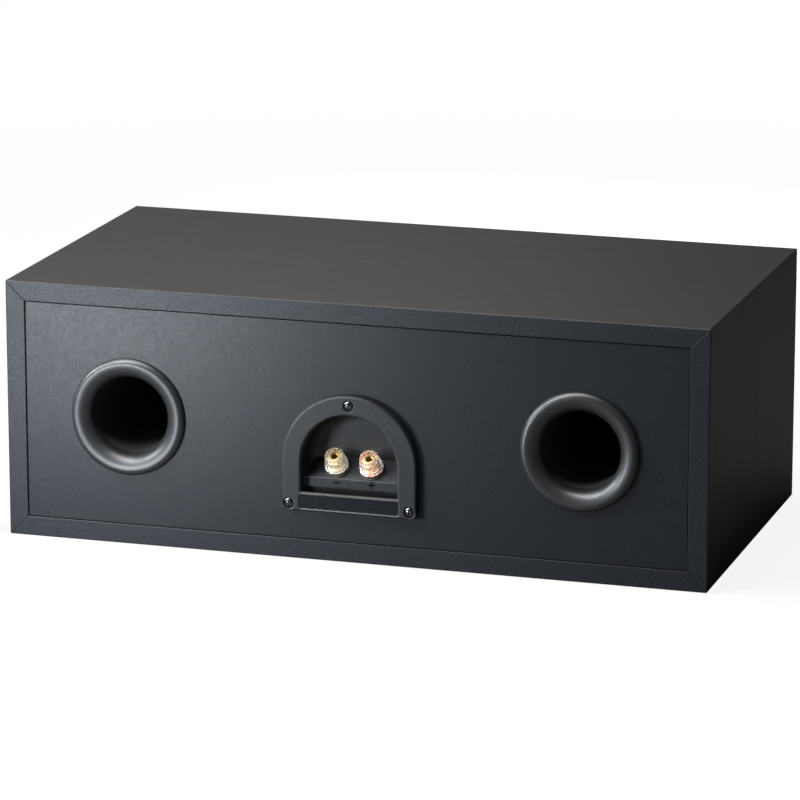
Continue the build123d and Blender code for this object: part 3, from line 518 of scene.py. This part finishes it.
def clear_plastic(name, colour):
    """Clear moulded plastic of the posts, which lets most of the lamps' light through."""
    made, tree, sockets = finish(name, Base_Color=colour, Transmission_Weight=0.93, IOR=1.49)
    lamp_light = node(tree, "ShaderNodeLightPath").outputs["Is Shadow Ray"]
    tree.links.new(between(tree, lamp_light, 1.0, 0.12), sockets["Alpha"])
    tone = apply_effect(tree, MOTTLE, Scale=220.0)["Tone"]
    tree.links.new(between(tree, tone, 0.19, 0.25), sockets["Roughness"])
    raise_bump(tree, sockets, tone, strength=0.03, distance=0.1 * MM)
    return made


def cloth(name, dark, light, scale, dull):
    """Woven cloth, impregnated or plain."""
    made, tree, sockets = finish(name, Specular_IOR_Level=0.2, Sheen_Weight=0.15)
    thread = apply_effect(tree, WEAVE, Scale=scale)["Thread"]
    tone = apply_effect(tree, MOTTLE, Scale=60.0)["Tone"]
    colour = tint(tree, thread, dark, light)
    colour = tint(tree, scaled(tree, tone, 0.3), colour, dark)
    tree.links.new(colour, sockets["Base Color"])
    tree.links.new(between(tree, tone, dull - 0.1, dull), sockets["Roughness"])
    raise_bump(tree, sockets, thread, strength=0.25, distance=0.1 * MM)
    return made


def cone_paper():
    """Pressed cone pulp with stray fibres under a thin coating."""
    made, tree, sockets = finish("cone_paper", Specular_IOR_Level=0.35)
    dark, light = (0.018, 0.018, 0.019, 1), (0.040, 0.040, 0.042, 1)
    cycles = {"Cycles_X": 900.0, "Cycles_Y": 60.0, "Cycles_Z": 240.0}
    fibres = apply_effect(tree, GRAIN, **cycles, Detail=4.0, Roughness=0.7, Low=0.4, High=0.66)["Grain"]
    pebble = apply_effect(tree, PEBBLE, Scale=2200.0)
    colour = tint(tree, fibres, dark, light)
    tree.links.new(colour, sockets["Base Color"])
    tree.links.new(between(tree, fibres, 0.42, 0.58), sockets["Roughness"])
    height = maths(tree, "ADD", pebble["Height"], fibres)
    raise_bump(tree, sockets, height, strength=0.2, distance=0.1 * MM)
    return made


def wound_copper():
    """Enamelled copper wire, turn against turn."""
    made, tree, sockets = finish("wound_copper", Metallic=1.0, Coat_Weight=0.4)
    tone = apply_effect(tree, MOTTLE, Scale=300.0)["Tone"]
    dark, light = (0.45, 0.16, 0.06, 1), (0.72, 0.30, 0.12, 1)
    tree.links.new(tint(tree, tone, dark, light), sockets["Base Color"])
    tree.links.new(between(tree, tone, 0.22, 0.36), sockets["Roughness"])
    return made


def fleece():
    """Loose polyester wadding."""
    made, tree, sockets = finish("fleece", Specular_IOR_Level=0.1, Sheen_Weight=0.4)
    dark, light = (0.035, 0.035, 0.037, 1), (0.085, 0.085, 0.088, 1)
    hair = cloud(tree, object_place(tree), 900.0, detail=6.0, roughness=0.75)
    hair = spread(tree, hair, 0.35, 0.65)
    colour = tint(tree, hair, dark, light)
    tree.links.new(colour, sockets["Base Color"])
    tree.links.new(between(tree, hair, 0.85, 1.0), sockets["Roughness"])
    raise_bump(tree, sockets, hair, strength=0.6, distance=0.5 * MM)
    return made


LEVEL_VINYL = wrap_vinyl("wrap_vinyl_level", "X")
UPRIGHT_VINYL = wrap_vinyl("wrap_vinyl_upright", "Z")
PANEL_VINYL = panel_vinyl()
PORT_PLASTIC = port_plastic()
CUP_PLASTIC = cup_plastic()
FRAME_PAINT = moulded_plastic(
    "frame_paint",
    dark=(0.010, 0.010, 0.011, 1),
    light=(0.018, 0.018, 0.019, 1),
    smooth=0.34,
    dull=0.5,
    scale=1800.0,
)
HORN_PLASTIC = moulded_plastic(
    "horn_plastic",
    dark=(0.010, 0.010, 0.011, 1),
    light=(0.015, 0.015, 0.016, 1),
    smooth=0.28,
    dull=0.4,
    scale=2600.0,
)
RUBBER = moulded_plastic(
    "rubber",
    dark=(0.009, 0.009, 0.009, 1),
    light=(0.015, 0.015, 0.015, 1),
    smooth=0.48,
    dull=0.62,
    scale=1500.0,
)
GASKET_FOAM = moulded_plastic(
    "gasket_foam",
    dark=(0.006, 0.006, 0.006, 1),
    light=(0.014, 0.014, 0.014, 1),
    smooth=0.8,
    dull=0.95,
    scale=2500.0,
)
# Painted shade: the dark colour of the sign sheets stands in for the shade of the moulded signs
SIGN_SHADE = moulded_plastic(
    "sign_painted_shade",
    dark=(0.001, 0.001, 0.001, 1),
    light=(0.002, 0.002, 0.002, 1),
    smooth=0.6,
    dull=0.75,
    scale=3000.0,
    shine=0.05,
)
DARK_RING = moulded_plastic(
    "dark_ring",
    dark=(0.010, 0.009, 0.007, 1),
    light=(0.020, 0.017, 0.012, 1),
    smooth=0.25,
    dull=0.35,
    scale=3000.0,
)
RED_RING = moulded_plastic(
    "red_ring",
    dark=(0.42, 0.012, 0.008, 1),
    light=(0.58, 0.022, 0.014, 1),
    smooth=0.22,
    dull=0.34,
    scale=3000.0,
)
RED_WIRE = moulded_plastic(
    "red_wire",
    dark=(0.35, 0.010, 0.010, 1),
    light=(0.45, 0.016, 0.014, 1),
    smooth=0.35,
    dull=0.45,
    scale=1500.0,
)
BOARD_RESIN = moulded_plastic(
    "board_resin",
    dark=(0.030, 0.085, 0.035, 1),
    light=(0.045, 0.115, 0.05, 1),
    smooth=0.3,
    dull=0.45,
    scale=900.0,
)
FILM_CASE = moulded_plastic(
    "film_case",
    dark=(0.42, 0.27, 0.05, 1),
    light=(0.55, 0.36, 0.08, 1),
    smooth=0.25,
    dull=0.4,
    scale=700.0,
)
CERAMIC = moulded_plastic(
    "ceramic",
    dark=(0.62, 0.60, 0.55, 1),
    light=(0.74, 0.72, 0.67, 1),
    smooth=0.6,
    dull=0.8,
    scale=1200.0,
)
FERRITE = moulded_plastic(
    "ferrite",
    dark=(0.020, 0.020, 0.021, 1),
    light=(0.045, 0.045, 0.047, 1),
    smooth=0.6,
    dull=0.8,
    scale=700.0,
)
BOBBIN_PLASTIC = moulded_plastic(
    "bobbin_plastic",
    dark=(0.015, 0.015, 0.016, 1),
    light=(0.022, 0.022, 0.024, 1),
    smooth=0.4,
    dull=0.55,
    scale=1500.0,
)
BLACK_SCREW = metal(
    "black_screw",
    dark=(0.10, 0.10, 0.105, 1),
    light=(0.15, 0.15, 0.155, 1),
    smooth=0.13,
    dull=0.19,
    scale=3000.0,
    rounding=0.3 * MM,
)
GOLD = metal(
    "gold",
    dark=(0.88, 0.62, 0.26, 1),
    light=(0.97, 0.75, 0.40, 1),
    smooth=0.25,
    dull=0.38,
    scale=4000.0,
)
ZINC = metal(
    "zinc",
    dark=(0.50, 0.51, 0.52, 1),
    light=(0.66, 0.67, 0.66, 1),
    smooth=0.28,
    dull=0.42,
    scale=1200.0,
)
ALUMINIUM = metal(
    "aluminium",
    dark=(0.66, 0.66, 0.66, 1),
    light=(0.78, 0.78, 0.78, 1),
    smooth=0.22,
    dull=0.36,
    scale=2000.0,
)
CLEAR = clear_plastic("clear_plastic", colour=(1.0, 0.95, 0.87, 1))
PINK_CLEAR = clear_plastic("clear_plastic_warm", colour=(1.0, 0.90, 0.83, 1))
CONE_PAPER = cone_paper()
DOME_SILK = cloth(
    "dome_silk",
    dark=(0.012, 0.012, 0.013, 1),
    light=(0.030, 0.030, 0.032, 1),
    scale=1400.0,
    dull=0.6,
)
SPIDER_CLOTH = cloth(
    "spider_cloth",
    dark=(0.36, 0.22, 0.07, 1),
    light=(0.55, 0.36, 0.14, 1),
    scale=900.0,
    dull=0.85,
)
COPPER = wound_copper()
FLEECE = fleece()


def dress(material, *names):
    """Gives CAD nodes their finish."""
    for name in names:
        piece = cad[name]
        if not piece.material_slots:
            piece.data.materials.append(material)
        for slot in piece.material_slots:
            slot.material = material


dress(LEVEL_VINYL, "top_panel", "bottom_panel")
dress(UPRIGHT_VINYL, "left_panel", "right_panel")
dress(PANEL_VINYL, "rear_panel", "front_baffle")
dress(PORT_PLASTIC, "left_port", "right_port")
dress(CUP_PLASTIC, "terminal_cup")
dress(GASKET_FOAM, "terminal_gasket")
dress(BLACK_SCREW, "terminal_screws", "woofer_screws", "tweeter_screws")
dress(CLEAR, "negative_collar", "negative_cap")
dress(PINK_CLEAR, "positive_collar", "positive_cap")
dress(DARK_RING, "negative_ring")
dress(RED_RING, "positive_ring")
dress(GOLD, "negative_stud", "positive_stud", "negative_core", "positive_core")
dress(ZINC, "post_nuts", "solder_tags", "crossover_screws", "tweeter_top_plate", "tweeter_yoke")
dress(FERRITE, "tweeter_magnet")
dress(HORN_PLASTIC, "tweeter_faceplate")
dress(DOME_SILK, "tweeter_dome")
dress(BOARD_RESIN, "crossover_board")
dress(BOBBIN_PLASTIC, "crossover_standoffs", "woofer_choke", "tweeter_choke")
dress(FILM_CASE, "capacitors")
dress(CERAMIC, "resistor")
dress(RED_WIRE, "input_leads", "woofer_leads", "tweeter_leads")
for side in ("left", "right"):
    dress(FRAME_PAINT, side + "_woofer_frame")
    dress(CONE_PAPER, side + "_woofer_cone", side + "_woofer_dust_cap")
    dress(ALUMINIUM, side + "_woofer_voice_coil")
    dress(SPIDER_CLOTH, side + "_woofer_spider")
    dress(ZINC, side + "_woofer_top_plate", side + "_woofer_yoke")
    dress(FERRITE, side + "_woofer_magnet")


# Pieces made here


def piece_from(name, shape, material, smooth=True):
    """Turns a finished bmesh into a piece at the origin."""
    bmesh.ops.recalc_face_normals(shape, faces=shape.faces)
    mesh = bpy.data.meshes.new(name)
    shape.to_mesh(mesh)
    shape.free()
    mesh.materials.append(material)
    for face in mesh.polygons:
        face.use_smooth = smooth
    piece = bpy.data.objects.new(name, mesh)
    scene.collection.objects.link(piece)
    return piece


def turned_about_y(outline, x, y, z, steps):
    """Closed ring from an outline of (radius, height) points, turned about a line along Y."""
    shape = bmesh.new()
    rows = []
    for step in range(steps):
        angle = 2 * math.pi * step / steps
        across, up = math.cos(angle), math.sin(angle)
        rows.append([shape.verts.new((x + r * across, y + h, z + r * up)) for r, h in outline])
    count = len(outline)
    for step in range(steps):
        here, there = rows[step], rows[(step + 1) % steps]
        for index in range(count):
            after = (index + 1) % count
            shape.faces.new((here[index], here[after], there[after], there[index]))
    return shape


def roll_quarter(half, reach, foot):
    """Points of a quarter ellipse from the roll's foot to its crest."""
    points = []
    for step in range(ROLL_STEPS + 1):
        angle = math.pi / 2 * step / ROLL_STEPS
        radius = ROLL_CREST + half * reach * math.cos(angle)
        points.append((radius, foot + ROLL_RISE * math.sin(angle)))
    return points


def roll_outline(half):
    """Section of one half of the surround: glued lip, then the roll up to its crest and back under it."""
    edge = LIP_OUTER if half > 0 else LIP_INNER
    under_lip = LIP_HEIGHT - RUBBER_SHEET
    over = roll_quarter(half, ROLL_REACH, LIP_HEIGHT)
    under = roll_quarter(half, ROLL_UNDER_REACH, under_lip)
    return [(edge, LIP_HEIGHT)] + over + under[::-1] + [(edge, under_lip)]


def surround_halves(side, x):
    """The rubber roll of one woofer, in two halves that meet at the crest."""
    for half, name in ((1, "outer"), (-1, "inner")):
        shape = turned_about_y(roll_outline(half), x, FRONT_Y, MIDDLE_Z, RING_STEPS)
        piece = piece_from(side + "_surround_" + name, shape, RUBBER)
        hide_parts(side + "_woofer_surround")
        if half > 0:
            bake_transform(piece)
        else:
            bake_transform(piece)


def wadding(side, sign):
    """Fleece pad with a lofty uneven face and soft edges."""
    low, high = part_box(side + "_wadding")
    size = high - low
    middle = (low + high) / 2
    back_x = high.x if sign > 0 else low.x
    shape = bmesh.new()
    bmesh.ops.create_cube(shape, size=2.0)
    bmesh.ops.subdivide_edges(shape, edges=shape.edges, cuts=PAD_CUTS, use_grid_fill=True)
    for vertex in shape.verts:
        u, v, w = vertex.co
        inner = (1 - sign * u) / 2
        soft = 1 - PAD_ROUNDING * max(abs(v), abs(w)) ** PAD_SQUARENESS * inner
        lump = noise.noise(Vector((u, v, w)) * PAD_LUMPS) * 0.5 - 0.5
        deep = size.x * inner * soft + PAD_LUMP * lump * inner
        edge = 1 - PAD_WAVER * (0.5 + 0.5 * noise.noise(Vector((w, u, v)) * PAD_WAVES))
        x = back_x - sign * max(deep, 0.0)
        vertex.co = (x, middle.y + v * size.y / 2 * edge, middle.z + w * size.z / 2 * edge)
    piece = piece_from(side + "_fleece_pad", shape, FLEECE)
    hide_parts(side + "_wadding")
    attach(piece, "cabinet")


def sign_x(post):
    """Middle of the sign of one post, a little to the right of the post's own middle."""
    low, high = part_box(post + "_collar")
    return (low.x + high.x) / 2 + SIGN_SHIFT


def sign_mark(name, x, bars):
    """Thin dark sign on the front of the ledge, made of bars (centre z, width, height); its dark colour is
    painted shade of the moulded sign.
    """
    shape = bmesh.new()
    for z, width, height in bars:
        size = Matrix.Diagonal((width, SIGN_THICK, height, 1))
        place = Matrix.Translation((x, LEDGE_FACE_Y - SIGN_LIFT, z))
        bmesh.ops.create_cube(shape, size=1.0, matrix=place @ size)
    piece = piece_from(name, shape, SIGN_SHADE, smooth=False)
    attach(piece, "cabinet")


def winding_tree():
    """Wire wound in a close helix, with its sizes as inputs."""
    tree = bpy.data.node_groups.new("Wound Coil", "GeometryNodeTree")
    tree.interface.new_socket("Geometry", in_out="INPUT", socket_type="NodeSocketGeometry")
    for label in ("Radius", "Height", "Wire", "Turns"):
        tree.interface.new_socket(label, in_out="INPUT", socket_type="NodeSocketFloat")
    tree.interface.new_socket("Place", in_out="INPUT", socket_type="NodeSocketVector")
    tree.interface.new_socket("Finish", in_out="INPUT", socket_type="NodeSocketMaterial")
    tree.interface.new_socket("Geometry", in_out="OUTPUT", socket_type="NodeSocketGeometry")
    given = node(tree, "NodeGroupInput").outputs
    leave = node(tree, "NodeGroupOutput")
    helix = node(tree, "GeometryNodeCurveSpiral")
    helix.inputs["Resolution"].default_value = STEPS_PER_TURN
    section = node(tree, "GeometryNodeCurvePrimitiveCircle")
    section.inputs["Resolution"].default_value = WIRE_SIDES
    sweep = node(tree, "GeometryNodeCurveToMesh")
    move = node(tree, "GeometryNodeTransform")
    real = node(tree, "GeometryNodeRealizeInstances")
    paint = node(tree, "GeometryNodeSetMaterial")
    for source, target in (
        (given["Turns"], helix.inputs["Rotations"]),
        (given["Radius"], helix.inputs["Start Radius"]),
        (given["Radius"], helix.inputs["End Radius"]),
        (given["Height"], helix.inputs["Height"]),
        (given["Wire"], section.inputs["Radius"]),
        (helix.outputs[0], sweep.inputs["Curve"]),
        (section.outputs[0], sweep.inputs["Profile Curve"]),
        (sweep.outputs[0], move.inputs["Geometry"]),
        (given["Place"], move.inputs["Translation"]),
        (move.outputs[0], real.inputs[0]),
        (real.outputs[0], paint.inputs["Geometry"]),
        (given["Finish"], paint.inputs["Material"]),
        (paint.outputs[0], leave.inputs[0]),
    ):
        tree.links.new(source, target)
    return tree


WINDING = winding_tree()


def wound_coil(choke, flange, inset, wire, turns):
    """The winding of one choke between its flanges, made by the coil tree and kept as a plain mesh."""
    name = choke + "_winding"
    low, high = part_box(choke)
    middle = (low + high) / 2
    sizes = {
        "Radius": (high.x - low.x) / 2 - inset,
        "Height": high.z - low.z - 2 * flange,
        "Wire": wire,
        "Turns": turns,
        "Place": (middle.x, middle.y, low.z + flange),
        "Finish": COPPER,
    }
    holder = bpy.data.objects.new(name + "_maker", bpy.data.meshes.new(name + "_maker"))
    scene.collection.objects.link(holder)
    modifier = holder.modifiers.new("Winding", "NODES")
    modifier.node_group = WINDING
    for item in WINDING.interface.items_tree:
        if item.in_out == "INPUT" and item.name in sizes:
            modifier[item.identifier] = sizes[item.name]
    shown = holder.evaluated_get(bpy.context.evaluated_depsgraph_get())
    mesh = bpy.data.meshes.new_from_object(shown)
    bpy.data.objects.remove(holder)
    for face in mesh.polygons:
        face.use_smooth = True
    piece = bpy.data.objects.new(name, mesh)
    scene.collection.objects.link(piece)
    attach(piece, "cabinet")


surround_halves("left", -WOOFER_X)
surround_halves("right", WOOFER_X)
wadding("left", -1)
wadding("right", 1)
sign_mark("minus_sign", sign_x("negative"), [(SIGN_Z, SIGN_WIDTH, MINUS_STROKE)])
sign_mark(
    "plus_sign",
    sign_x("positive"),
    [
        (SIGN_Z, SIGN_WIDTH, PLUS_STROKE),
        (SIGN_Z + PLUS_ARM_Z, PLUS_STROKE, PLUS_ARM),
        (SIGN_Z - PLUS_ARM_Z, PLUS_STROKE, PLUS_ARM),
    ],
)
wound_coil("woofer_choke", flange=2.1 * MM, inset=1.95 * MM, wire=0.5 * MM, turns=17.0)
wound_coil("tweeter_choke", flange=1.95 * MM, inset=2.1 * MM, wire=0.35 * MM, turns=16.0)


# Lights, floor and camera


def lamp(name, place, aim, size, power, colour=(1, 1, 1)):
    """Soft rectangular lamp turned towards a point."""
    data = bpy.data.lights.new(name, "AREA")
    data.shape = "RECTANGLE"
    data.size, data.size_y = size
    data.energy = power
    data.color = colour
    holder = bpy.data.objects.new(name, data)
    holder.location = place
    holder.rotation_euler = (Vector(aim) - Vector(place)).to_track_quat("-Z", "Y").to_euler()
    holder.visible_camera = False
    scene.collection.objects.link(holder)


def seen_directly(tree, mirrored):
    """One where the camera or clear plastic looks at this, a share for reflections, nought for its light."""
    path = node(tree, "ShaderNodeLightPath").outputs
    seen = maths(tree, "ADD", path["Is Camera Ray"], path["Is Transmission Ray"], clamp=True)
    return maths(tree, "MAXIMUM", seen, scaled(tree, path["Is Glossy Ray"], mirrored))


def mixed_shaders(tree, share, first, second, out):
    """Links two shaders to an output, the second with a share."""
    mix = node(tree, "ShaderNodeMixShader")
    tree.links.new(share, mix.inputs[0])
    tree.links.new(first.outputs[0], mix.inputs[1])
    tree.links.new(second.outputs[0], mix.inputs[2])
    tree.links.new(mix.outputs[0], out.inputs["Surface"])


def white_world():
    """White all round where it is looked at, and a low even light from it."""
    world = bpy.data.worlds.new("studio")
    world.use_nodes = True
    tree = world.node_tree
    tree.nodes.clear()
    dim = node(tree, "ShaderNodeBackground")
    white = node(tree, "ShaderNodeBackground")
    for background, strength in ((dim, WORLD_LIGHT), (white, 1.0)):
        background.inputs["Color"].default_value = (1, 1, 1, 1)
        background.inputs["Strength"].default_value = strength
    seen = seen_directly(tree, WORLD_MIRRORED)
    mixed_shaders(tree, seen, dim, white, node(tree, "ShaderNodeOutputWorld"))
    scene.world = world


def white_floor():
    """Plain white floor that keeps a faint shadow near the object."""
    made = bpy.data.materials.new("floor_white")
    made.use_nodes = True
    tree = made.node_tree
    tree.nodes.clear()
    lit_grey, seen_grey = (0.15, 0.15, 0.15, 1), (0.9, 0.9, 0.9, 1)
    seen = seen_directly(tree, mirrored=0.0)
    lit = node(tree, "ShaderNodeBsdfDiffuse")
    tree.links.new(tint(tree, seen, lit_grey, seen_grey), lit.inputs["Color"])
    glow = node(tree, "ShaderNodeEmission")
    glow.inputs["Strength"].default_value = 1.0
    length = node(tree, "ShaderNodeVectorMath", operation="LENGTH")
    tree.links.new(object_place(tree), length.inputs[0])
    away = length.outputs["Value"]
    white = spread(tree, away, FLOOR_NEAR, FLOOR_FAR, FLOOR_NEAR_WHITE, 1.0, smooth=True)
    share = maths(tree, "MULTIPLY", seen, white)
    mixed_shaders(tree, share, lit, glow, node(tree, "ShaderNodeOutputMaterial"))
    shape = bmesh.new()
    bmesh.ops.create_grid(shape, x_segments=1, y_segments=1, size=FLOOR_HALF)
    floor = piece_from("floor", shape, made, smooth=False)
    floor.location.z = -FLOOR_DROP


def side_card():
    """Black card, unseen by the camera, that shades the cabinet's left end from the key lamp."""
    made, _, _ = finish("card_black", Base_Color=(0, 0, 0, 1))
    near = -CABINET_WIDTH / 2 - CARD_GAP
    far = -CABINET_WIDTH / 2 - CARD_REACH
    depth = -CABINET_DEPTH / 2 + CARD_INSET
    shape = bmesh.new()
    corners = []
    for x, z in ((near, 0.0), (far, 0.0), (far, CABINET_HEIGHT), (near, CABINET_HEIGHT)):
        corners.append(shape.verts.new((x, depth, z)))
    shape.faces.new(corners)
    card = piece_from("side_card", shape, made, smooth=False)
    card.visible_camera = False


def photo_camera():
    """Camera at the photograph's place, turned by its back, right and up directions."""
    data = bpy.data.cameras.new("camera")
    data.sensor_fit = "HORIZONTAL"
    data.sensor_width = CAMERA_SENSOR
    data.lens = CAMERA_LENS
    data.clip_end = CAMERA_REACH
    camera = bpy.data.objects.new("camera", data)
    back = Vector(CAMERA_BACK).normalized()
    right = Vector((0, 0, 1)).cross(back).normalized()
    up = back.cross(right)
    turn = Matrix((right, up, back)).transposed().to_4x4()
    camera.matrix_world = Matrix.Translation(CAMERA_PLACE) @ turn
    scene.collection.objects.link(camera)
    scene.camera = camera


lamp(
    "key_lamp",
    place=(-0.32, -0.54, 0.085),
    aim=(-0.06, -0.12, 0.085),
    size=(0.16, 0.15),
    power=1.9,
    colour=(0.88, 0.94, 1.0),
)
lamp(
    "upper_lamp",
    place=(-0.5, -0.55, 0.7),
    aim=(-0.05, -0.12, 0.09),
    size=(0.22, 0.34),
    power=6.0,
    colour=(0.9, 0.95, 1.0),
)
lamp(
    "top_lamp",
    place=(-0.4, -0.25, 1.4),
    aim=(-0.05, 0.0, 0.1),
    size=(1.0, 0.8),
    power=22.0,
    colour=WARM_WHITE,
)
lamp(
    "rim_lamp",
    place=(-0.6, 1.2, 1.1),
    aim=(0.0, 0.1, 0.08),
    size=(0.8, 0.6),
    power=2.0,
    colour=WARM_WHITE,
)
lamp(
    "front_lamp",
    place=(-0.06, 1.1, 0.085),
    aim=(0.0, 0.12, 0.085),
    size=(0.32, 0.13),
    power=7.5,
)
lamp(
    "side_lamp",
    place=(-0.95, 0.0, 0.085),
    aim=(-0.23, 0.0, 0.085),
    size=(0.2, 0.13),
    power=3.0,
)
lamp(
    "edge_lamp",
    place=(-0.78, -0.36, 0.42),
    aim=(0.0, -0.12, 0.09),
    size=(0.16, 0.24),
    power=4.0,
    colour=(0.95, 0.98, 1.0),
)
white_world()
white_floor()
side_card()
photo_camera()
scene.view_settings.view_transform = "Standard"
